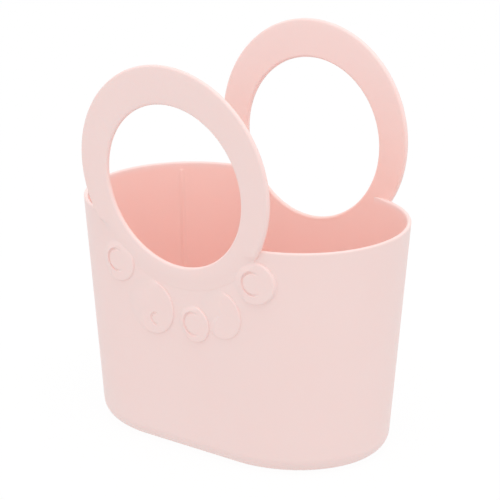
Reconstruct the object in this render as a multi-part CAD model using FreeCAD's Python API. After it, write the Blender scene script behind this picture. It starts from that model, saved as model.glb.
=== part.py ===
"""Oval plastic shower caddy with a tall ring handle on its front and on its back.

The real caddy is one moulding. Its members are built here as separate solids that meet
face to face. Millimetres, +Z up, -Y is the front. The origin is the middle of the base.
"""
import FreeCAD, Part
import math
import os

# ---- driving dimensions, mm ----

RIM_LENGTH = 270.0        # outside, along X
RIM_WIDTH = 164.6         # outside, along Y
RIM_STRAIGHT = 108.4      # flat run of the front and back walls at the rim
RIM_HEIGHT = 178.1
BASE_LENGTH = 241.8       # as if the walls ran straight down to the table
BASE_STRAIGHT = 90.4
WALL_SLOPE = 0.066        # lean of the front and back walls, mm outwards per mm of height
WALL = 3.2
BASE_ROUND = 13.6         # outside radius between wall and floor
FOOT_WIDTH = 9.0          # flat foot left around the hollow in the underside
FOOT_HEIGHT = 0.8

RING_LENGTH = 178.0       # ring plate, outside, along X
RING_HEIGHT = 171.8
RING_MIDDLE = 219.0       # height of its middle
RING_HOLE_LENGTH = 127.0
RING_HOLE_HEIGHT = 124.2
RING_HOLE_MIDDLE = 212.9
RING_PROUD = 0.8          # how far the ring's face stands out of the wall's face
RING_EDGE = 1.9           # rounding of the ring's edges

SCROLL_PROUD = 1.1        # height of a scroll on the flat wall
SCROLL_FLAT = 8.0         # the scrolls' face stays flat this much further out than the wall
SCROLL_END = 3.0          # and stands out this much more at the ends of the oval
GROOVE = 2.0              # width of the curl that is cut in a scroll
GROOVE_GAP = 50.0         # the curl is open this many degrees either side of +X

# Seen from outside, from left to right: the disc's middle and radius, then the
# curl's middle and outer radius, or no curl.
SCROLLS = [
    ((-58.5, 143.0), 16.5, (-58.5, 143.5), 9.5),
    ((-27.0, 113.0), 21.8, (-22.5, 104.0), 5.5),
    ((14.0, 108.0), 14.6, (14.0, 108.0), 9.8),
    ((40.0, 121.0), 19.0, None, 0.0),
    ((70.5, 152.7), 17.2, (71.0, 152.0), 9.8),
]

RIB_AT = (109.8, -55.2)   # where a rib crosses the rim's level
RIB_TOWARDS = (96.8, -47.3)  # where the same line crosses the base's level
RIB_WIDTH = 5.0
RIB_PROUD = 0.8
RIB_BELOW_RIM = 4.0
RIB_FOOT = 20.0           # height of the rib's lower end

# ---- worked out from them ----

BASE_WIDTH = RIM_WIDTH - 2 * WALL_SLOPE * RIM_HEIGHT
LEAN = math.degrees(math.atan(WALL_SLOPE))
RING_DEPTH = (RING_PROUD + WALL) * math.cos(math.radians(LEAN))
OUT = 60.0                # overshoot of cutting tools

V = FreeCAD.Vector


def half_ellipse(reach, side, x, z, towards):
    """The rounded end of an oval, from y = -side to +side, bulging to +X or -X."""
    arc = Part.makeCircle(1.0, V(0, 0, 0), V(0, 0, 1), -90, 90)
    stretch = FreeCAD.Matrix()
    stretch.scale(towards * reach, towards * side, 1.0)
    arc = arc.transformGeometry(stretch)
    arc.translate(V(towards * x, 0, z))
    return arc


def oval(length, width, straight, z):
    """A level outline: straight front and back, half an ellipse at each end."""
    x, side = straight / 2, width / 2
    reach = length / 2 - x
    return Part.Wire([
        half_ellipse(reach, side, x, z, 1),
        Part.makeLine(V(x, side, z), V(-x, side, z)),
        half_ellipse(reach, side, x, z, -1),
        Part.makeLine(V(-x, -side, z), V(x, -side, z)),
    ])


def tapered(ends, sides, flat, low, high):
    """The tub's form grown by these amounts, between two heights."""
    wires = []
    for z in (low, high):
        up = z / RIM_HEIGHT
        length = BASE_LENGTH + (RIM_LENGTH - BASE_LENGTH) * up
        width = BASE_WIDTH + (RIM_WIDTH - BASE_WIDTH) * up
        straight = BASE_STRAIGHT + (RIM_STRAIGHT - BASE_STRAIGHT) * up
        wires.append(oval(length + 2 * ends, width + 2 * sides, straight + 2 * flat, z))
    return Part.makeLoft(wires, True, True)


def round_foot(solid, radius):
    """Round the edge where the walls meet the floor."""
    low = solid.BoundBox.ZMin
    foot = [e for e in solid.Edges if e.BoundBox.ZMax < low + 0.01]
    return solid.makeFillet(radius, foot)


def tub_outside():
    return round_foot(tapered(0, 0, 0, 0, RIM_HEIGHT), BASE_ROUND)


def tub_inside():
    return round_foot(tapered(-WALL, -WALL, 0, WALL, RIM_HEIGHT), BASE_ROUND - WALL)


def upright_ellipse(length, height, middle, y):
    """An ellipse in the plane of the ring plate before it is leaned outwards."""
    rise = math.cos(math.radians(LEAN))
    line = Part.Ellipse(V(0, 0, 0), length / 2, height / 2 / rise).toShape()
    line.rotate(V(0, 0, 0), V(1, 0, 0), 90)
    line.translate(V(0, y, (middle - RIM_HEIGHT) / rise))
    return Part.Wire(line)


def lean_in_place(solid):
    """Tilt about the rim's line and carry it to the front wall."""
    solid.rotate(V(0, 0, 0), V(1, 0, 0), LEAN)
    solid.translate(V(0, -(RIM_WIDTH / 2 + RING_PROUD), RIM_HEIGHT))
    return solid


def ring_plate():
    """The front ring, with its back flush with the inside of the front wall."""
    outline = upright_ellipse(RING_LENGTH, RING_HEIGHT, RING_MIDDLE, 0)
    hole = upright_ellipse(RING_HOLE_LENGTH, RING_HOLE_HEIGHT, RING_HOLE_MIDDLE, 0)
    plate = Part.Face(outline).cut(Part.Face(hole)).extrude(V(0, RING_DEPTH, 0))
    plate = plate.makeFillet(RING_EDGE, [e for e in plate.Edges if not is_seam(e)])
    return lean_in_place(plate)


def is_seam(edge):
    """True for the short straight edges that run through the plate."""
    box = edge.BoundBox
    return box.XLength < 1.0 and box.ZLength < 1.0


def ring_blank(length, height, middle):
    """A block as wide as an ellipse of the ring and deeper than the wall."""
    face = Part.Face(upright_ellipse(length, height, middle, -OUT / 2))
    return lean_in_place(face.extrude(V(0, OUT, 0)))


def cylinder(middle, radius):
    """A round bar through the front wall."""
    x, z = middle
    return Part.makeCylinder(radius, 2 * OUT, V(x, -RIM_WIDTH / 2 - OUT, z), V(0, 1, 0))


def curl(middle, radius):
    """The C-shaped slot of a scroll, open towards +X, as a bar through the front wall."""
    low, high = math.radians(GROOVE_GAP), math.radians(360 - GROOVE_GAP)
    arcs = []
    for r in (radius, radius - GROOVE):
        arcs.append(Part.makeCircle(r, V(0, 0, 0), V(0, 0, 1), GROOVE_GAP, 360 - GROOVE_GAP))
    ends = []
    for angle in (low, high):
        along = V(math.cos(angle), math.sin(angle), 0)
        ends.append(Part.makeLine(along * radius, along * (radius - GROOVE)))
    slot = Part.Face(Part.Wire([arcs[0], ends[1], arcs[1], ends[0]])).extrude(V(0, 0, 2 * OUT))
    slot.rotate(V(0, 0, 0), V(1, 0, 0), 90)
    slot.translate(V(middle[0], -RIM_WIDTH / 2 + OUT, middle[1]))
    return slot


def front_scrolls(outside, ring):
    """Raised discs on the front wall, each cut back to the ring and to its neighbours."""
    skin = tapered(SCROLL_END, SCROLL_PROUD, SCROLL_FLAT, 60, RIM_HEIGHT)
    skin = skin.cut(outside).cut(ring)
    scrolls = []
    taken = None
    for middle, radius, curl_middle, curl_radius in SCROLLS:
        disc = cylinder(middle, radius)
        scroll = skin.common(disc)
        if taken:
            scroll = scroll.cut(taken)
        if curl_middle:
            scroll = scroll.cut(curl(curl_middle, curl_radius))
        scrolls.append(Part.makeCompound([s for s in scroll.Solids if s.Volume > 1.0]))
        taken = taken.fuse(disc) if taken else disc
    return scrolls


def corner_rib(inside, core):
    """One low upright rib on the inside of the wall, in the +X, -Y corner."""
    top = V(*RIB_AT, RIM_HEIGHT)
    foot = V(*RIB_TOWARDS, 0)
    run = foot - top
    outwards = V(RIB_AT[0] - RIM_STRAIGHT / 2, RIB_AT[1], 0).normalize()
    across = run.cross(outwards).normalize() * (RIB_WIDTH / 2)
    depth = outwards * WALL
    section = Part.makePolygon([
        top + across + depth, top - across + depth,
        top - across - depth, top + across - depth,
        top + across + depth,
    ])
    bar = Part.Face(section).extrude(run)
    height = RIM_HEIGHT - RIB_BELOW_RIM - RIB_FOOT
    span = Part.makeBox(RIM_LENGTH, RIM_WIDTH, height, V(0, -RIM_WIDTH, RIB_FOOT))
    return bar.common(inside).cut(core).common(span)


def turned(shape):
    """The same shape on the back, half a turn about the upright axis."""
    copy = shape.copy()
    copy.rotate(V(0, 0, 0), V(0, 0, 1), 180)
    return copy


def build():
    outside = tub_outside()
    inside = tub_inside()

    ring = ring_plate()
    blank = ring_blank(RING_LENGTH, RING_HEIGHT, RING_MIDDLE)
    hole = ring_blank(RING_HOLE_LENGTH, RING_HOLE_HEIGHT, RING_HOLE_MIDDLE)
    front_ring = ring.cut(inside)

    shell = outside.cut(inside)
    floor_slab = Part.makeBox(2 * RIM_LENGTH, 2 * RIM_WIDTH, WALL,
                              V(-RIM_LENGTH, -RIM_WIDTH, 0))
    inset = BASE_ROUND + FOOT_WIDTH
    hollow = tapered(-inset, -inset, 0, 0, FOOT_HEIGHT)
    tub_floor = shell.common(floor_slab).cut(hollow)

    tub_wall = shell.cut(floor_slab)
    for tool in (ring, hole):
        tub_wall = tub_wall.cut(tool).cut(turned(tool))
    tub_wall = max(tub_wall.Solids, key=lambda s: s.Volume)

    core = tapered(-WALL - RIB_PROUD, -WALL - RIB_PROUD, 0, 0, RIM_HEIGHT)
    rib = corner_rib(inside, core)
    ribs = Part.makeCompound([rib, turned(rib)])

    nodes = {
        "tub_floor": tub_floor,
        "tub_wall": tub_wall,
        "front_handle": front_ring,
        "rear_handle": turned(front_ring),
        "corner_ribs": ribs,
    }
    for number, scroll in enumerate(front_scrolls(outside, blank), 1):
        nodes["front_scroll_%d" % number] = scroll
        nodes["rear_scroll_%d" % number] = turned(scroll)
    return nodes


def main():
    os.makedirs("parts", exist_ok=True)
    whole = FreeCAD.BoundBox()
    for name, shape in build().items():
        shape.exportStep("parts/%s.step" % name)
        whole.add(shape.optimalBoundingBox(False))
        print("%-16s solids %d  volume %9.1f mm3  valid %s"
              % (name, len(shape.Solids), shape.Volume, shape.isValid()))
    print("overall %.1f x %.1f x %.1f mm" % (whole.XLength, whole.YLength, whole.ZLength))


main()
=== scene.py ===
"""Pale pink oval shower caddy with a tall ring handle on its front and on its back.

Sizes are in millimetres until a mesh is made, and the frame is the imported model's:
+Z up, -Y the front, the origin in the middle of the base.
"""
import math

import bpy
import numpy as np
from mathutils import Matrix, Vector


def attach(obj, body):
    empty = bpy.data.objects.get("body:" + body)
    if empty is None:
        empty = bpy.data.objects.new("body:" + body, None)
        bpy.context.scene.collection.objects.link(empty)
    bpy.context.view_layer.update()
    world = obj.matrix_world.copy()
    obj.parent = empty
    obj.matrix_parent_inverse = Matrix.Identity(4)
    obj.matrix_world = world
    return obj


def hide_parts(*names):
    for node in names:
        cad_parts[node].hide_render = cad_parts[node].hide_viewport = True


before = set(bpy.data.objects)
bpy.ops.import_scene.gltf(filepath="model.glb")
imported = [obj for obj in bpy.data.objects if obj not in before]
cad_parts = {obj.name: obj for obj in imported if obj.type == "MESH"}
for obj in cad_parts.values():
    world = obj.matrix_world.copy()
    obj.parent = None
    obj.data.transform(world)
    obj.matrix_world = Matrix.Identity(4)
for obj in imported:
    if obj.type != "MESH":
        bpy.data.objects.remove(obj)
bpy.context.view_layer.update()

MM = 0.001
BODY = "root"

# ---- driving sizes, mm ----

RIM_LENGTH = 270.0
RIM_WIDTH = 164.6
RIM_STRAIGHT = 108.4        # flat run of the front and back walls
RIM_HEIGHT = 178.1
BASE_LENGTH = 241.8         # where the walls would meet the table
BASE_STRAIGHT = 90.4
WALL_SLOPE = 0.066          # outwards per mm of height, front and back
WALL = 3.2
BASE_ROUND = 13.6
FLOOR_THICK = 3.2
FOOT_INSET = 22.6           # from the wall to the hollow in the underside
FOOT_HEIGHT = 0.8
# The hollow's edge: how far past FOOT_INSET, and the drop from its roof or the height.
HOLLOW_EDGE = ((20.0, 0.0), (0.5, 0.0), (0.15, 0.15), (0.0, 0.4))
FOOT_EDGE = ((0.0, 0.3), (-0.1, 0.08), (-0.3, 0.0), (-4.0, 0.0))
MEAN_SLOPE = 0.072          # lean of the wall, averaged round the oval

LIP_ROUND = 1.45            # rounding of the rim
LIP_SHARP = 0.2             # rounding of the rim's inner edge where a ring runs on from it
LIP_SHARP_ALONG = (61.0, 76.0)    # from the middle of a side, where that edge grows round
PAINTED_BOUNCE_BELOW_RIM = (1.0, 5.0)      # the inside's painted bounce light (deeper pink) comes in between these depths
ON_WALL = 0.01              # a point this near the wall's inside counts as on it

# Where rows of points run round the tub, mm below the rim.
RIM_ROWS = 6.0
RIM_ROW = 3.5
LIP_ROW = 0.4               # below the lip's rounding
FLOOR_ROW = 4.0             # in from the floor's rounded edge
FOOT_STEPS = 16             # round the foot
WALL_STEPS = 12             # up the wall
LIP_STEPS = 6               # round each half of the lip
END_STEPS = 92              # round each end
SIDE_STEPS = 76             # along each straight side
CUT_ROUNDS = 12             # passes to settle where the wall ends beside a hand hole

RING_LENGTH = 178.0
RING_HEIGHT = 171.8
RING_MIDDLE = 219.0
RING_HOLE_LENGTH = 127.0
RING_HOLE_HEIGHT = 124.2
RING_HOLE_MIDDLE = 212.9
RING_PROUD = 0.8            # its face in front of the wall's face
RING_FADE = 11.0            # below the rim its face sinks into the wall over this width
RING_FOOT_STEP = 0.16       # and ends in a step this high
RING_EDGE = 1.91
RING_THICK = RING_PROUD + WALL
RING_CROWN = 0.2            # its face is this much fuller in the middle
BLEND_STEP = 0.07           # faces that run on into each other cross at this small depth

RING_STEPS = 288            # points round the ring
RING_EDGE_STEPS = 7
RING_BACK_SHARES = (0.85, 0.65, 0.45, 0.3, 0.15)
RING_FACE_SHARES = (0.08, 0.2, 0.35, 0.5, 0.65, 0.8, 0.92)
HOLE_EDGE_ROWS = (1.0, 0.4)       # rows on the back beside the hand hole's rounded edge
HOLE_EDGE_BACK = 0.9              # the back is buried from this far past that edge

# Pairs of distances between which a change eases in, mm: below the rim, above the rim, or
# along the side from its middle.
FADE_BELOW = (8.0, 5.0)           # the ring's face starts to sink into the wall
RUN_ON_ALONG = (61.0, 70.0)       # the back stops running on from the tub's inside
RUN_ON_ABOVE = (1.0, 18.0)
BURIED_BELOW = (14.0, 4.0)        # the back comes out of the wall
ROOT_SINK = 0.7                   # the ring's root sits this much deeper in the wall
ROOT_ALONG = (66.0, 78.0)
ROOT_ABOVE = (1.0, 9.0)
BACK_PAINTED_BOUNCE_TOP = 75.0              # the back's painted bounce light (deeper pink) is gone this far above its middle

CUT_BEYOND_HOLE = 2.3       # the wall ends this far outside the hand hole, inside the ring

# Seen from outside: disc's middle and radius, curl's middle and radius, height of its
# face, and how wide its soft left side is.
SCROLLS = [
    ((-58.5, 143.0), 16.5, (-58.5, 143.5), 9.5, 1.2, 7.0),
    ((-27.0, 113.0), 21.8, (-22.5, 104.0), 5.5, 1.2, 19.0),
    ((14.0, 108.0), 14.6, (14.0, 108.0), 9.8, 1.4, 4.6),
    ((40.0, 121.0), 19.0, None, 0.0, 1.05, 24.0),
    ((70.5, 152.7), 17.2, (71.0, 152.0), 9.8, 1.2, 7.0),
]
SCROLL_FLAT = 4.0           # the discs stay flat this much further out than the wall
SCROLL_END = 3.0
SCROLL_CRISP = 1.15         # width of a disc's edge on its right and lower side
CURL_WIDTH = 2.0
CURL_OPEN = 50.0            # degrees either side of +X
CURL_SHALLOW = 70.0         # degrees over which its ends run out
CURL_DEEP = 0.95            # share of the disc's height that it cuts away
SOFT_TURN = 20.0            # degrees that the soft side is turned from the left
SOFT_SPAN = (-0.6, 0.1)     # cosines of the turn between which soft becomes crisp
UNDER_RING = (0.04, 0.2)    # how far in from the ring's outline a disc goes under it
UNDER_DEPTH = 0.7
SCROLL_STEPS = 224          # points round a disc
SCROLL_ROWS = 16            # rows between its curl and its edge
SCROLL_MIDDLE = 0.6         # radius of a plain disc's innermost row
SCROLL_CREASE = 0.2         # last row before the edge's rounding
SCROLL_EDGE_ROWS = (0.8, 0.6, 0.42, 0.27, 0.15, 0.06, 0.0)
CURL_INNER_ROWS = 5
CURL_ROWS = 17
CURL_MARGIN = 0.12          # its rows start this far outside its edges
CURL_INNER_GAP = 0.3
CURL_OUTER_GAP = 0.4

RIB_TURN = -44.4            # degrees round the right end, towards the front
RIB_TOP = 174.1
RIB_FOOT = 20.0
RIB_WIDTH = 5.0
RIB_PROUD = 0.8
RIB_END = 3.0               # its ends die away over this length
RIB_ACROSS = 17             # points across it
RIB_END_ROWS = 9
RIB_ROWS = 60
END_BEND = 75.0             # radius of the tub's end where a rib runs
SUNK = 0.3                  # how deep the back of a relief is buried in the wall


# ---- the tub's rules ----

def half_length(z):
    return (BASE_LENGTH + (RIM_LENGTH - BASE_LENGTH) * z / RIM_HEIGHT) / 2


def half_straight(z):
    return (BASE_STRAIGHT + (RIM_STRAIGHT - BASE_STRAIGHT) * z / RIM_HEIGHT) / 2


def half_width(z):
    return RIM_WIDTH / 2 - WALL_SLOPE * (RIM_HEIGHT - z)


def wall_out(x, z, ends=0.0, sides=0.0, flat=0.0):
    """How far the outside of the front wall is from the middle, grown by these amounts."""
    straight = half_straight(z) + flat
    past = np.clip((np.abs(x) - straight) / (half_length(z) + ends - straight), 0, 1)
    return (half_width(z) + sides) * np.sqrt(1 - past ** 2)


def ring_face(z):
    """How far the ring's face is from the middle."""
    return RIM_WIDTH / 2 + RING_PROUD + WALL_SLOPE * (z - RIM_HEIGHT)


def smooth(low, high, value):
    """0 at low and before it, 1 at high and past it, with an eased change between them."""
    t = np.clip((np.asarray(value, float) - low) / (high - low), 0, 1)
    return t * t * (3 - 2 * t)


# ---- mesh and node helpers ----

def mesh_piece(name, points, faces, attributes=None):
    """A new object from points in mm and faces, with smooth shading."""
    mesh = bpy.data.meshes.new(name)
    mesh.from_pydata((np.asarray(points, float) * MM).tolist(), [], faces)
    for key, values in (attributes or {}).items():
        layer = mesh.attributes.new(key, "FLOAT", "POINT")
        layer.data.foreach_set("value", np.asarray(values, np.float32).ravel())
    mesh.polygons.foreach_set("use_smooth", [True] * len(mesh.polygons))
    mesh.update()
    piece = bpy.data.objects.new(name, mesh)
    bpy.context.scene.collection.objects.link(piece)
    return piece


def quads(rows, columns, close_rows=False, close_columns=False):
    """Faces of a grid whose point (row, column) is number row * columns + column."""
    last_row = rows if close_rows else rows - 1
    last_column = columns if close_columns else columns - 1
    faces = []
    for i in range(last_row):
        for j in range(last_column):
            k, m = (i + 1) % rows, (j + 1) % columns
            faces.append((i * columns + j, i * columns + m, k * columns + m, k * columns + j))
    return faces


def turned_over(faces):
    """The same faces, pointing the other way."""
    return [tuple(reversed(face)) for face in faces]


def add_node(tree, kind, settings, inputs):
    """One node with its settings, and its inputs linked or set."""
    node = tree.nodes.new(kind)
    for key, value in settings.items():
        setattr(node, key, value)
    for key, value in inputs.items():
        if isinstance(value, bpy.types.NodeSocket):
            tree.links.new(value, node.inputs[key])
        else:
            node.inputs[key].default_value = value
    return node


def work_out(tree, known, lines):
    """Adds one Math node for each line (result, operation, operands) of a formula."""
    for result, operation, *operands in lines:
        inputs = {i: known[o] if isinstance(o, str) else o for i, o in enumerate(operands)}
        step = add_node(tree, "ShaderNodeMath", {"operation": operation}, inputs)
        known[result] = step.outputs[0]
    return known


def form_tree(name, sizes):
    """A Geometry Nodes tree with named inputs for its blank, its sizes and its finish."""
    tree = bpy.data.node_groups.new(name, "GeometryNodeTree")
    face = tree.interface
    face.new_socket(name="Blank", in_out="INPUT", socket_type="NodeSocketGeometry")
    for size in sizes:
        face.new_socket(name=size, in_out="INPUT", socket_type="NodeSocketFloat")
    face.new_socket(name="Finish", in_out="INPUT", socket_type="NodeSocketMaterial")
    face.new_socket(name="Form", in_out="OUTPUT", socket_type="NodeSocketGeometry")
    start = add_node(tree, "NodeGroupInput", {}, {})
    return tree, {s.name: s for s in start.outputs if s.name}


def end_tree(tree, known, form):
    """Shade smooth, realize, give the finish and send it out."""
    shaded = add_node(tree, "GeometryNodeSetShadeSmooth", {}, {"Geometry": form})
    real = add_node(tree, "GeometryNodeRealizeInstances", {}, {"Geometry": shaded.outputs[0]})
    done = add_node(tree, "GeometryNodeSetMaterial", {},
                    {"Geometry": real.outputs[0], "Material": known["Finish"]})
    add_node(tree, "NodeGroupOutput", {}, {0: done.outputs[0]})


# What a blank's points carry for a tree, dropped once the tree has run.
CARRIED = ("turn", "run", "inset", "height", "proud")


def shaped(blank, tree, values):
    """Runs a tree on a blank and keeps the result as the blank's plain mesh."""
    modifier = blank.modifiers.new(tree.name, "NODES")
    modifier.node_group = tree
    for item in tree.interface.items_tree:
        if item.in_out == "INPUT" and item.name in values:
            modifier[item.identifier] = values[item.name]
    graph = bpy.context.evaluated_depsgraph_get()
    made = bpy.data.meshes.new_from_object(blank.evaluated_get(graph))
    blank.modifiers.remove(modifier)
    blank.data = made
    made.name = blank.name
    for key in CARRIED:
        if key in made.attributes:
            made.attributes.remove(made.attributes[key])
    return blank


def finish_piece(piece, finish, *nodes):
    """Gives the finish, attaches the piece to its body and hides the CAD nodes that it stands for.
    """
    if not piece.data.materials:
        piece.data.materials.append(finish)
    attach(piece, BODY)
    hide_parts(*nodes)
    return piece


def half_turn(piece, name):
    """A copy on the back of the caddy, half a turn about the upright axis."""
    copy = bpy.data.objects.new(name, piece.data.copy())
    copy.data.name = name
    copy.data.transform(Matrix.Rotation(math.pi, 4, "Z"))
    bpy.context.scene.collection.objects.link(copy)
    return copy


# ---- finishes ----

def linear(hex_colour):
    """A linear colour from an sRGB hex string."""
    parts = [int(hex_colour[i:i + 2], 16) / 255 for i in (1, 3, 5)]
    return [c / 12.92 if c <= 0.04045 else ((c + 0.055) / 1.055) ** 2.4 for c in parts] + [1.0]


PINK_LIGHT = "#FCE1DD"
PINK_DEEP = "#FCDED9"
PAINTED_BOUNCE_PINK = "#FFD8D0"     # painted bounce light: deeper pink where the walls throw light on each other
PINK_ROUGH = 0.46
PINK_IOR = 1.51             # low-density polyethylene
PINK_SHEEN = 0.22           # the waxy bloom seen at a grazing angle
PINK_SHEEN_ROUGH = 0.3
ROUGH_SPREAD = 0.04         # the grain makes it this much rougher or smoother
PINK_SUBSURFACE = 0.1
PINK_DEPTH = (1.2, 0.6, 0.5)   # mm that red, green and blue travel in the plastic
CLOUD_SIZE = 55.0           # mm across a patch of slightly deeper pink
CLOUD_DETAIL = 3.0
CLOUD_ROUGH = 0.45
WAVE_SIZE = 34.0            # mm across the soft hollows left as the moulding shrinks
WAVE_DETAIL = 1.0
WAVE_DEPTH = 0.5            # mm
WAVE_STRENGTH = 0.35
GRAIN_SIZE = 1.1            # mm; the real spark-eroded grain is about 0.3, drawn coarser to show
GRAIN_DETAIL = 2.0
GRAIN_DEPTH = 0.05          # mm
GRAIN_STRENGTH = 0.22

FLOOR_COLOUR = "#FFFFFF"
FLOOR_GLOW = 0.94           # share of the floor's white that no shadow reaches


def satin_pink_polyethylene():
    """Injection-moulded low-density polyethylene from a lightly eroded mould: a soft,
    waxy satin with no sharp reflections, a little light passing through the wall."""
    finish = bpy.data.materials.new("satin_pink_polyethylene")
    finish.use_nodes = True
    tree = finish.node_tree
    tree.nodes.clear()
    place = add_node(tree, "ShaderNodeTexCoord", {}, {}).outputs["Object"]
    clouds = add_node(tree, "ShaderNodeTexNoise", {"noise_dimensions": "3D"},
                      {"Vector": place, "Scale": 1 / (CLOUD_SIZE * MM), "Detail": CLOUD_DETAIL,
                       "Roughness": CLOUD_ROUGH})
    pink = add_node(tree, "ShaderNodeMix", {"data_type": "RGBA"},
                    {"Factor": clouds.outputs[0], "A": linear(PINK_LIGHT), "B": linear(PINK_DEEP)})
    # Painted bounce light: where the attribute read here is 1, the pink is painted deeper, standing
    # in for the light the walls throw on each other.
    painted_bounce_light = add_node(tree, "ShaderNodeAttribute", {"attribute_name": "painted_bounce_light"}, {})
    pink = add_node(tree, "ShaderNodeMix", {"data_type": "RGBA"},
                    {"Factor": painted_bounce_light.outputs["Fac"], "A": pink.outputs["Result"],
                     "B": linear(PAINTED_BOUNCE_PINK)})
    waves = add_node(tree, "ShaderNodeTexNoise", {"noise_dimensions": "3D"},
                     {"Vector": place, "Scale": 1 / (WAVE_SIZE * MM), "Detail": WAVE_DETAIL})
    grain = add_node(tree, "ShaderNodeTexNoise", {"noise_dimensions": "3D"},
                     {"Vector": place, "Scale": 1 / (GRAIN_SIZE * MM), "Detail": GRAIN_DETAIL})
    wavy = add_node(tree, "ShaderNodeBump", {},
                    {"Strength": WAVE_STRENGTH, "Distance": WAVE_DEPTH * MM,
                     "Height": waves.outputs[0]})
    grainy = add_node(tree, "ShaderNodeBump", {},
                      {"Strength": GRAIN_STRENGTH, "Distance": GRAIN_DEPTH * MM,
                       "Height": grain.outputs[0], "Normal": wavy.outputs[0]})
    rough = add_node(tree, "ShaderNodeMapRange", {},
                     {"Value": grain.outputs[0], "To Min": PINK_ROUGH - ROUGH_SPREAD,
                      "To Max": PINK_ROUGH + ROUGH_SPREAD})
    plastic = add_node(tree, "ShaderNodeBsdfPrincipled", {"subsurface_method": "RANDOM_WALK"},
                       {"Base Color": pink.outputs["Result"], "Roughness": rough.outputs[0],
                        "IOR": PINK_IOR, "Sheen Weight": PINK_SHEEN,
                        "Sheen Roughness": PINK_SHEEN_ROUGH,
                        "Subsurface Weight": PINK_SUBSURFACE,
                        "Subsurface Radius": PINK_DEPTH, "Subsurface Scale": MM,
                        "Normal": grainy.outputs[0]})
    add_node(tree, "ShaderNodeOutputMaterial", {}, {"Surface": plastic.outputs[0]})
    return finish


def pale_studio_floor():
    """A white paper sweep, lit so evenly that only a trace of shadow shows on it."""
    finish = bpy.data.materials.new("pale_studio_floor")
    finish.use_nodes = True
    tree = finish.node_tree
    tree.nodes.clear()
    paper = add_node(tree, "ShaderNodeBsdfDiffuse", {}, {"Color": linear(FLOOR_COLOUR)})
    glow = add_node(tree, "ShaderNodeEmission", {},
                    {"Color": linear(FLOOR_COLOUR), "Strength": 1.0})
    both = add_node(tree, "ShaderNodeMixShader", {},
                    {0: FLOOR_GLOW, 1: paper.outputs[0], 2: glow.outputs[0]})
    add_node(tree, "ShaderNodeOutputMaterial", {}, {"Surface": both.outputs[0]})
    return finish


pink = satin_pink_polyethylene()

# ---- tub ----

OVAL_SIZES = {
    "Rim Length": RIM_LENGTH, "Rim Width": RIM_WIDTH, "Rim Straight": RIM_STRAIGHT,
    "Rim Height": RIM_HEIGHT, "Base Length": BASE_LENGTH, "Base Straight": BASE_STRAIGHT,
}
MERGE = 0.002               # mm apart at which points are one
OVAL_VALUES = {key: value * MM for key, value in OVAL_SIZES.items()}
OVAL_VALUES["Wall Slope"] = WALL_SLOPE
OVAL_VALUES["Finish"] = pink

# The tub's outline at a height: the straight run, the reach of the ends and the half width.
OVAL_RULE = [
    ("up", "DIVIDE", "height", "Rim Height"),
    ("length grown", "SUBTRACT", "Rim Length", "Base Length"),
    ("length there", "MULTIPLY_ADD", "length grown", "up", "Base Length"),
    ("half length", "MULTIPLY", "length there", 0.5),
    ("straight grown", "SUBTRACT", "Rim Straight", "Base Straight"),
    ("straight there", "MULTIPLY_ADD", "straight grown", "up", "Base Straight"),
    ("half straight", "MULTIPLY", "straight there", 0.5),
    ("reach", "SUBTRACT", "half length", "half straight"),
    ("below rim", "SUBTRACT", "Rim Height", "height"),
    ("leaned in", "MULTIPLY", "below rim", "Wall Slope"),
    ("half rim", "MULTIPLY", "Rim Width", 0.5),
    ("half width", "SUBTRACT", "half rim", "leaned in"),
]


def oval_tub_tree():
    """Bends a blank round the oval. Each point of the blank carries its turn round the end,
    its share of the straight run, its inset from the wall's outside and its height."""
    tree, known = form_tree("oval_tub", list(OVAL_SIZES) + ["Wall Slope"])
    for key in ("turn", "run", "inset", "height"):
        known[key] = add_node(tree, "GeometryNodeInputNamedAttribute", {"data_type": "FLOAT"},
                              {"Name": key}).outputs[0]
    work_out(tree, known, OVAL_RULE + [
        ("end reach", "SUBTRACT", "reach", "inset"),
        ("side", "SUBTRACT", "half width", "inset"),
        ("cosine", "COSINE", "turn"),
        ("sine", "SINE", "turn"),
        ("along ends", "MULTIPLY", "end reach", "cosine"),
        ("x", "MULTIPLY_ADD", "half straight", "run", "along ends"),
        ("y", "MULTIPLY", "side", "sine"),
    ])
    point = add_node(tree, "ShaderNodeCombineXYZ", {},
                     {"X": known["x"], "Y": known["y"], "Z": known["height"]})
    bent = add_node(tree, "GeometryNodeSetPosition", {},
                    {"Geometry": known["Blank"], "Position": point.outputs[0]})
    closed = add_node(tree, "GeometryNodeMergeByDistance", {},
                      {"Geometry": bent.outputs[0], "Distance": MERGE * MM})
    end_tree(tree, known, closed.outputs[0])
    return tree


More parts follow.
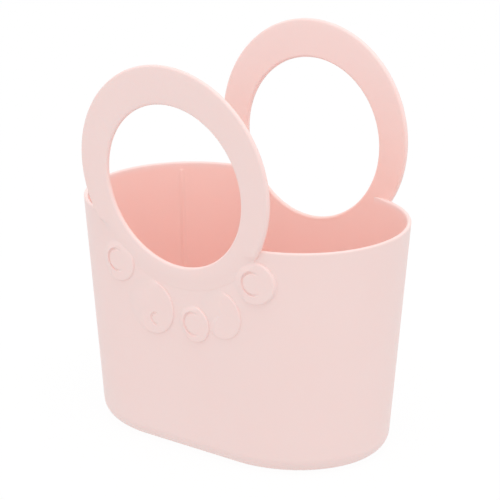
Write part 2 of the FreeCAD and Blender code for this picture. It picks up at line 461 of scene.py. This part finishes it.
def tub_section(top, lip_inside):
    """Inset and height of each point of the tub's section, from the middle of the
    underside, up the outside, over the rim and down to the middle of the floor."""
    points = [(RIM_WIDTH, FOOT_HEIGHT)]
    points += [(FOOT_INSET + past, FOOT_HEIGHT - drop) for past, drop in HOLLOW_EDGE]
    points += [(FOOT_INSET + past, z) for past, z in FOOT_EDGE]
    lean = math.atan(MEAN_SLOPE)
    for k in range(FOOT_STEPS + 1):
        turn = (math.pi / 2 - lean) * k / FOOT_STEPS
        z = BASE_ROUND - BASE_ROUND * math.cos(turn)
        inset = (MEAN_SLOPE * (z - BASE_ROUND) + BASE_ROUND / math.cos(lean)
                 - BASE_ROUND * math.sin(turn))
        points.append((inset, z))
    knee = points[-1][1]
    for k in range(1, WALL_STEPS + 1):
        points.append((0.0, knee + (top - RIM_ROWS - knee) * k / WALL_STEPS))
    points += [(0.0, top - RIM_ROW), (0.0, top - LIP_ROUND - LIP_ROW)]
    quarter = [math.pi / 2 * k / LIP_STEPS for k in range(LIP_STEPS + 1)]
    for turn in quarter:
        points.append((LIP_ROUND * (1 - math.cos(turn)), top - LIP_ROUND * (1 - math.sin(turn))))
    for turn in quarter:
        points.append((WALL - lip_inside * (1 - math.sin(turn)),
                       top - lip_inside * (1 - math.cos(turn))))
    points += [(WALL, top - lip_inside - LIP_ROW), (WALL, top - RIM_ROW)]
    inner = BASE_ROUND - WALL
    knee = FLOOR_THICK + inner - inner * math.sin(lean)
    for k in range(WALL_STEPS):
        points.append((WALL, top - RIM_ROWS + (knee - top + RIM_ROWS) * k / WALL_STEPS))
    for k in range(FOOT_STEPS + 1):
        turn = (math.pi / 2 - lean) * (1 - k / FOOT_STEPS)
        z = FLOOR_THICK + inner - inner * math.cos(turn)
        inset = (WALL + MEAN_SLOPE * (z - FLOOR_THICK - inner) + inner / math.cos(lean)
                 - inner * math.sin(turn))
        points.append((inset, z))
    points += [(WALL + inner + FLOOR_ROW, FLOOR_THICK), (RIM_WIDTH, FLOOR_THICK)]
    return points


def tub_stations():
    """Turn round the end and share of the straight run, once round the oval."""
    stations = []
    for side in (1, -1):
        for k in range(END_STEPS):
            turn = -math.pi / 2 + math.pi * k / END_STEPS
            stations.append((turn if side == 1 else turn + math.pi, float(side)))
        turn = side * math.pi / 2
        for k in range(SIDE_STEPS):
            stations.append((turn, side * (1 - 2 * k / SIDE_STEPS)))
    return stations


def wall_top(turn, run):
    """Height at which the wall ends, which is lower inside the rings, and the x there."""
    z = RIM_HEIGHT
    for _ in range(CUT_ROUNDS):
        x = run * half_straight(z) + (half_length(z) - half_straight(z)) * math.cos(turn)
        share = 1 - (x / (RING_HOLE_LENGTH / 2 + CUT_BEYOND_HOLE)) ** 2
        cut = RIM_HEIGHT
        if share > 0:
            cut = RING_HOLE_MIDDLE - (RING_HOLE_HEIGHT / 2 + CUT_BEYOND_HOLE) * math.sqrt(share)
        z = min(RIM_HEIGHT, cut)
    return z, x


def make_tub():
    """The tub as one closed mesh, its section carried once round the oval."""
    stations = tub_stations()
    pale, deep = PAINTED_BOUNCE_BELOW_RIM
    turns, runs, insets, heights, painted_bounce_light = [], [], [], [], []
    for turn, run in stations:
        top, x = wall_top(turn, run)
        grown = float(smooth(*LIP_SHARP_ALONG, abs(x)))
        lip_inside = LIP_SHARP + (LIP_ROUND - LIP_SHARP) * grown
        section = tub_section(top, lip_inside)
        for inset, z in section:
            turns.append(turn)
            runs.append(run)
            insets.append(min(inset, half_width(z)) * MM)
            heights.append(z * MM)
            # Painted bounce light: deeper pink on the inside faces, easing in below the rim.
            inside = inset > WALL - ON_WALL and z >= FLOOR_THICK
            painted_bounce_light.append(inside * float(smooth(RIM_HEIGHT - pale, RIM_HEIGHT - deep, z)))
    rows, columns = len(stations), len(section)
    flat = np.zeros((rows * columns, 3))
    flat[:, 0] = np.repeat(np.arange(rows), columns)
    flat[:, 2] = np.tile(np.arange(columns), rows)
    blank = mesh_piece("tub", flat, turned_over(quads(rows, columns, close_rows=True)),
                       {"turn": turns, "run": runs, "inset": insets, "height": heights,
                        "painted_bounce_light": painted_bounce_light})
    return shaped(blank, OVAL, OVAL_VALUES)


OVAL = oval_tub_tree()
tub = make_tub()
finish_piece(tub, pink, "tub_floor", "tub_wall")

# ---- ring handles ----

def ellipse(length, height, middle, turns, grow):
    """Points on an upright ellipse, moved outwards by grow, as x and z."""
    a, b = length / 2, height / 2
    x, z = a * np.cos(turns), b * np.sin(turns)
    nx, nz = np.cos(turns) / a, np.sin(turns) / b
    size = np.hypot(nx, nz)
    return x + grow * nx / size, middle + z + grow * nz / size


def ring_section():
    """Points once round the ring's section: side (0 hand hole, 1 outline, between on the
    faces), mm in from that edge, and mm of depth from 0 at the face to RING_THICK."""
    quarter = [math.pi / 2 * k / RING_EDGE_STEPS for k in range(RING_EDGE_STEPS + 1)]
    edge, thick = RING_EDGE, RING_THICK
    points = []
    for turn in quarter:
        points.append((1, edge * (1 - math.sin(turn)), edge * (1 - math.cos(turn))))
    for turn in reversed(quarter):
        points.append((1, edge * (1 - math.sin(turn)), thick - edge * (1 - math.cos(turn))))
    for share in RING_BACK_SHARES:
        points.append((share, edge, thick))
    for past in HOLE_EDGE_ROWS:
        points.append((0, edge + past, thick))
    for turn in quarter:
        points.append((0, edge * (1 - math.sin(turn)), thick - edge * (1 - math.cos(turn))))
    for turn in reversed(quarter):
        points.append((0, edge * (1 - math.sin(turn)), edge * (1 - math.cos(turn))))
    for share in RING_FACE_SHARES:
        points.append((share, edge, 0.0))
    return points


def eased_out(low, high, z):
    """1 at low and under it, 0 at high and over it, both measured up from the rim."""
    return 1 - smooth(RIM_HEIGHT + low, RIM_HEIGHT + high, z)


def make_ring():
    """The front ring: its back is flush with the inside of the front wall, and below the
    rim its face dies away softly into the wall."""
    turns = np.linspace(0, 2 * np.pi, RING_STEPS, endpoint=False)
    columns, painted_bounce_light = [], []
    for side, inset, depth in ring_section():
        hole = ellipse(RING_HOLE_LENGTH, RING_HOLE_HEIGHT, RING_HOLE_MIDDLE, turns,
                       inset if side < 1 else RING_EDGE)
        rim = ellipse(RING_LENGTH, RING_HEIGHT, RING_MIDDLE, turns,
                      -inset if side == 1 else -RING_EDGE)
        x = hole[0] + (rim[0] - hole[0]) * side
        z = hole[1] + (rim[1] - hole[1]) * side
        share = depth / RING_THICK
        crown = RING_CROWN * (1 - 4 * (side - 0.5) ** 2) if depth == 0 and 0 < side < 1 else 0.0
        out = ring_face(z) + crown - depth
        gap = np.hypot(rim[0] - hole[0], rim[1] - hole[1]) * (1 - side)
        inwards = inset if side == 1 else RING_EDGE + gap
        wall = wall_out(x, np.minimum(z, RIM_HEIGHT))
        if share < 0.5:
            full = np.maximum(ring_face(z) + crown - wall, RING_FOOT_STEP)
            soft = wall + RING_FOOT_STEP * (1 - (depth / RING_EDGE) ** 2) - SUNK * share
            soft = soft + (full - RING_FOOT_STEP) * smooth(0, RING_FADE, inwards)
        else:
            soft = np.minimum(out, wall - (SUNK + depth - RING_EDGE) / 2)
        below = eased_out(-FADE_BELOW[0], -FADE_BELOW[1], z)
        near_edge = 1 - smooth(RING_FADE, RING_FADE + 1, inwards)
        out = out + (soft - out) * below * near_edge
        # Near the hand hole the back runs on from the tub's inside; further out it leaves
        # the curving wall, whose rim shows as a ledge.
        level = np.minimum(z, RIM_HEIGHT)
        inner = wall_out(x, level, -WALL, -WALL) + WALL_SLOPE * (z - level)
        run_on = (1 - smooth(*RUN_ON_ALONG, np.abs(x))) * eased_out(*RUN_ON_ABOVE, z)
        flush = (ring_face(z) - RING_THICK - inner + BLEND_STEP) * run_on
        buried = 2 * BLEND_STEP * eased_out(-BURIED_BELOW[0], -BURIED_BELOW[1], z)
        beyond_hole = side > 0 or inset > RING_EDGE + HOLE_EDGE_BACK
        root = ROOT_SINK * smooth(*ROOT_ALONG, np.abs(x)) * eased_out(*ROOT_ABOVE, z)
        out = out - (root + flush - buried * beyond_hole) * share
        columns.append(np.stack([x, -out, z], 1))
        # Painted bounce light: deeper pink on the ring's back, fading out upwards.
        painted_bounce_light.append(share * smooth(RING_MIDDLE + BACK_PAINTED_BOUNCE_TOP, RIM_HEIGHT - BURIED_BELOW[1], z))
    points = np.stack(columns, 1)
    rows, across = points.shape[:2]
    return mesh_piece("front_ring", points.reshape(-1, 3),
                      quads(rows, across, close_rows=True, close_columns=True),
                      {"painted_bounce_light": np.stack(painted_bounce_light, 1)})


front_ring = make_ring()
rear_ring = half_turn(front_ring, "rear_ring")
finish_piece(front_ring, pink, "front_handle")
finish_piece(rear_ring, pink, "rear_handle")

# ---- scrolls ----

def raised_tree():
    """Lays a flat relief on the outside of the front wall: x and z stay, and y becomes the
    wall's place there plus the height that the relief's point carries."""
    tree, known = form_tree("raised_on_wall", list(OVAL_SIZES) + ["Wall Slope"])
    where = add_node(tree, "GeometryNodeInputPosition", {}, {})
    parts = add_node(tree, "ShaderNodeSeparateXYZ", {}, {0: where.outputs[0]})
    known["x"], known["height"] = parts.outputs["X"], parts.outputs["Z"]
    known["proud"] = add_node(tree, "GeometryNodeInputNamedAttribute", {"data_type": "FLOAT"},
                              {"Name": "proud"}).outputs[0]
    work_out(tree, known, OVAL_RULE + [
        ("away", "ABSOLUTE", "x"),
        ("past straight", "SUBTRACT", "away", "half straight"),
        ("past", "MAXIMUM", "past straight", 0.0),
        ("share", "DIVIDE", "past", "reach"),
        ("share squared", "MULTIPLY", "share", "share"),
        ("left", "SUBTRACT", 1.0, "share squared"),
        ("fall", "SQRT", "left"),
        ("wall", "MULTIPLY_ADD", "half width", "fall", "proud"),
        ("y", "MULTIPLY", "wall", -1.0),
    ])
    point = add_node(tree, "ShaderNodeCombineXYZ", {},
                     {"X": known["x"], "Y": known["y"], "Z": known["height"]})
    laid = add_node(tree, "GeometryNodeSetPosition", {},
                    {"Geometry": known["Blank"], "Position": point.outputs[0]})
    end_tree(tree, known, laid.outputs[0])
    return tree


def scroll_height(x, z, inwards, turn_out, curl, curl_radius, full, soft):
    """How far a disc's face stands out of the wall at a point."""
    face = wall_out(x, z, SCROLL_END, full, SCROLL_FLAT) - wall_out(x, z)
    soft_side = 1 - smooth(*SOFT_SPAN, np.cos(turn_out + math.radians(SOFT_TURN)))
    soft_width = SCROLL_CRISP + soft_side * soft
    t = np.clip(inwards / soft_width, 0, 1)
    crisp = np.sqrt(1 - (1 - t) ** 2)
    eased = smooth(0, 1, t)
    height = face * (crisp * (1 - soft_side) + eased * soft_side)
    if curl:
        cx, cz = curl
        away = np.hypot(x - cx, z - cz)
        turn = np.abs(np.degrees(np.arctan2(z - cz, x - cx)))
        across = np.clip(np.abs(away - (curl_radius - CURL_WIDTH / 2)) / (CURL_WIDTH / 2), 0, 1)
        deep = np.sqrt(1 - across ** 2) * smooth(CURL_OPEN, CURL_OPEN + CURL_SHALLOW, turn)
        height = height * (1 - CURL_DEEP * deep)
    outline = 1 - ((x / (RING_LENGTH / 2)) ** 2 + ((z - RING_MIDDLE) / (RING_HEIGHT / 2)) ** 2)
    under = smooth(*UNDER_RING, outline)
    ring = ring_face(z) - wall_out(x, z) - UNDER_DEPTH
    return height * (1 - under) + np.minimum(height, ring) * under


def make_scroll(name, middle, radius, curl, curl_radius, full, soft):
    """A raised disc, drawn flat as rings of points about its curl."""
    centre = curl or middle
    count = SCROLL_STEPS
    turns = np.linspace(0, 2 * np.pi, count, endpoint=False)
    cos, sin = np.cos(turns), np.sin(turns)
    dx, dz = centre[0] - middle[0], centre[1] - middle[1]
    along = dx * cos + dz * sin
    reach = -along + np.sqrt(radius ** 2 - (dx ** 2 + dz ** 2) + along ** 2)
    distances = []
    if curl:
        low, high = curl_radius - CURL_WIDTH, curl_radius
        inner = np.linspace(CURL_MARGIN, 1.0, CURL_INNER_ROWS) * (low - CURL_INNER_GAP)
        groove = np.linspace(low - CURL_MARGIN, high + CURL_MARGIN, CURL_ROWS)
        distances += [np.full(count, r) for r in (*inner, *groove)]
        start = high + CURL_OUTER_GAP
    else:
        start = SCROLL_MIDDLE
    out_to = reach - SCROLL_CRISP - SCROLL_CREASE
    for k in range(SCROLL_ROWS + 1):
        distances.append(start + (out_to - start) * k / SCROLL_ROWS)
    for gap in SCROLL_EDGE_ROWS:
        distances.append(reach - gap * SCROLL_CRISP)
    points, proud = [], []
    for distance in distances:
        x, z = centre[0] + distance * cos, centre[1] + distance * sin
        from_middle = np.hypot(x - middle[0], z - middle[1])
        turn_out = np.arctan2(z - middle[1], x - middle[0])
        points.append(np.stack([x, np.zeros(count), z], 1))
        proud.append(scroll_height(x, z, radius - from_middle, turn_out, curl, curl_radius,
                                   full, soft))
    points.append(points[-1].copy())
    proud.append(np.full(count, -SUNK))
    rings = len(points)
    points = np.concatenate(points)
    proud = np.concatenate(proud)
    middle_point = [[centre[0], 0.0, centre[1]]]
    points = np.concatenate([points, middle_point, middle_point])
    proud = np.append(proud, [proud[:count].mean(), -SUNK])
    faces = turned_over(quads(rings, count, close_columns=True))
    hub, back, outermost = rings * count, rings * count + 1, (rings - 1) * count
    for k in range(count):
        following = (k + 1) % count
        faces.append((hub, k, following))
        faces.append((back, outermost + following, outermost + k))
    blank = mesh_piece(name, points, faces, {"proud": proud * MM})
    return shaped(blank, RAISED, OVAL_VALUES)


RAISED = raised_tree()
for number, sizes in enumerate(SCROLLS, 1):
    front = make_scroll("front_scroll_relief_%d" % number, *sizes)
    rear = half_turn(front, "rear_scroll_relief_%d" % number)
    finish_piece(front, pink, "front_scroll_%d" % number)
    finish_piece(rear, pink, "rear_scroll_%d" % number)

# ---- inside ribs ----

def make_ribs():
    """Two low round-backed ribs inside the tub, half a turn apart, laid on the wall."""
    across = np.linspace(-1, 1, RIB_ACROSS)
    length = RIB_TOP - RIB_FOOT
    up = np.concatenate([np.linspace(0, RIB_END, RIB_END_ROWS)[:-1],
                         np.linspace(RIB_END, length - RIB_END, RIB_ROWS),
                         np.linspace(length - RIB_END, length, RIB_END_ROWS)[1:]])
    to_end = np.minimum(up, length - up)
    swell = np.cos(across * math.pi / 2) ** 2 * RIB_PROUD + SUNK / 2
    face = np.outer(smooth(0, RIB_END, to_end), swell + SUNK / 2) - SUNK
    back = np.full_like(face, -SUNK)
    rise = np.concatenate([face, back], 1)
    sideways = np.tile(np.concatenate([across, across[::-1]]), (len(up), 1))
    rows, columns = rise.shape
    carried = {"turn": [], "run": [], "inset": [], "height": []}
    faces = []
    for number in range(2):
        turn = math.radians(RIB_TURN + 180 * number) - sideways * RIB_WIDTH / 2 / END_BEND
        first = number * rows * columns
        faces += [tuple(first + k for k in f) for f in quads(rows, columns, close_columns=True)]
        carried["turn"].append(turn)
        carried["run"].append(np.full_like(turn, 1.0 - 2.0 * number))
        carried["inset"].append((WALL + rise) * MM)
        carried["height"].append(np.repeat(RIB_FOOT + up, columns) * MM)
    carried = {key: np.concatenate([v.ravel() for v in value]) for key, value in carried.items()}
    # Painted bounce light: the ribs take the deeper inside pink all over.
    carried["painted_bounce_light"] = np.ones(2 * rows * columns)
    blank = mesh_piece("corner_rib_bars", np.zeros((2 * rows * columns, 3)), faces, carried)
    return shaped(blank, OVAL, OVAL_VALUES)


ribs = make_ribs()
finish_piece(ribs, pink, "corner_ribs")

# ---- studio ----

FLOOR_HALF = 12000.0
floor = mesh_piece("studio_floor", [(-FLOOR_HALF, -FLOOR_HALF, 0), (FLOOR_HALF, -FLOOR_HALF, 0),
                                    (FLOOR_HALF, FLOOR_HALF, 0), (-FLOOR_HALF, FLOOR_HALF, 0)],
                   [(0, 1, 2, 3)])
floor.data.materials.append(pale_studio_floor())
floor.visible_diffuse = False    # the room lights the caddy from below, not this white
floor.visible_glossy = False
floor.visible_shadow = False

ROOM_COLOUR = "#FFFFFF"
SKY = 0.97                  # light from above the horizon
GROUND = 0.8                # light thrown back up by the room
HORIZON_BLEND = 0.35        # how softly one turns into the other

world = bpy.data.worlds.new("studio")
bpy.context.scene.world = world
world.use_nodes = True
room = world.node_tree
room.nodes.clear()
around = add_node(room, "ShaderNodeTexCoord", {}, {}).outputs["Generated"]
upwards = add_node(room, "ShaderNodeSeparateXYZ", {}, {0: around}).outputs["Z"]
strength = add_node(room, "ShaderNodeMapRange", {"interpolation_type": "SMOOTHSTEP"},
                    {"Value": upwards, "From Min": -HORIZON_BLEND, "From Max": HORIZON_BLEND,
                     "To Min": GROUND, "To Max": SKY})
light = add_node(room, "ShaderNodeBackground", {},
                 {"Color": linear(ROOM_COLOUR), "Strength": strength.outputs[0]})
add_node(room, "ShaderNodeOutputWorld", {}, {"Surface": light.outputs[0]})


LAMP_AT = (500, -400, 1900)
LAMP_AIM = (0, 0, 150)
LAMP_SIZE = 1000.0
LAMP_POWER = 6.0            # watts

lamp_data = bpy.data.lights.new("overhead", "AREA")
lamp_data.shape = "DISK"
lamp_data.size = LAMP_SIZE * MM
lamp_data.energy = LAMP_POWER
lamp = bpy.data.objects.new("overhead", lamp_data)
lamp.location = Vector(LAMP_AT) * MM
shining = Vector(LAMP_AIM) - Vector(LAMP_AT)
lamp.rotation_euler = shining.to_track_quat("-Z", "Y").to_euler()
bpy.context.scene.collection.objects.link(lamp)

CAMERA_AT = (1348.483, -1678.130, 862.724)
CAMERA_AIM = (4.17, 0.43, 143.21)
CAMERA_ROLL = 0.17          # degrees
LENS = 215.457              # mm
SENSOR = 36.0
CLIP_NEAR, CLIP_FAR = 0.05, 60    # metres
camera_data = bpy.data.cameras.new("camera")
camera_data.lens = LENS
camera_data.sensor_width = SENSOR
camera_data.sensor_fit = "HORIZONTAL"
camera = bpy.data.objects.new("camera", camera_data)
look = (Vector(CAMERA_AIM) - Vector(CAMERA_AT)).to_track_quat("-Z", "Y")
roll = Matrix.Rotation(math.radians(CAMERA_ROLL), 4, "Z")
camera.matrix_world = (Matrix.Translation(Vector(CAMERA_AT) * MM) @ look.to_matrix().to_4x4()
                       @ roll)
camera_data.clip_start = CLIP_NEAR
camera_data.clip_end = CLIP_FAR
bpy.context.scene.collection.objects.link(camera)
bpy.context.scene.camera = camera
bpy.context.scene.view_settings.view_transform = "Standard"

bpy.context.view_layer.update()
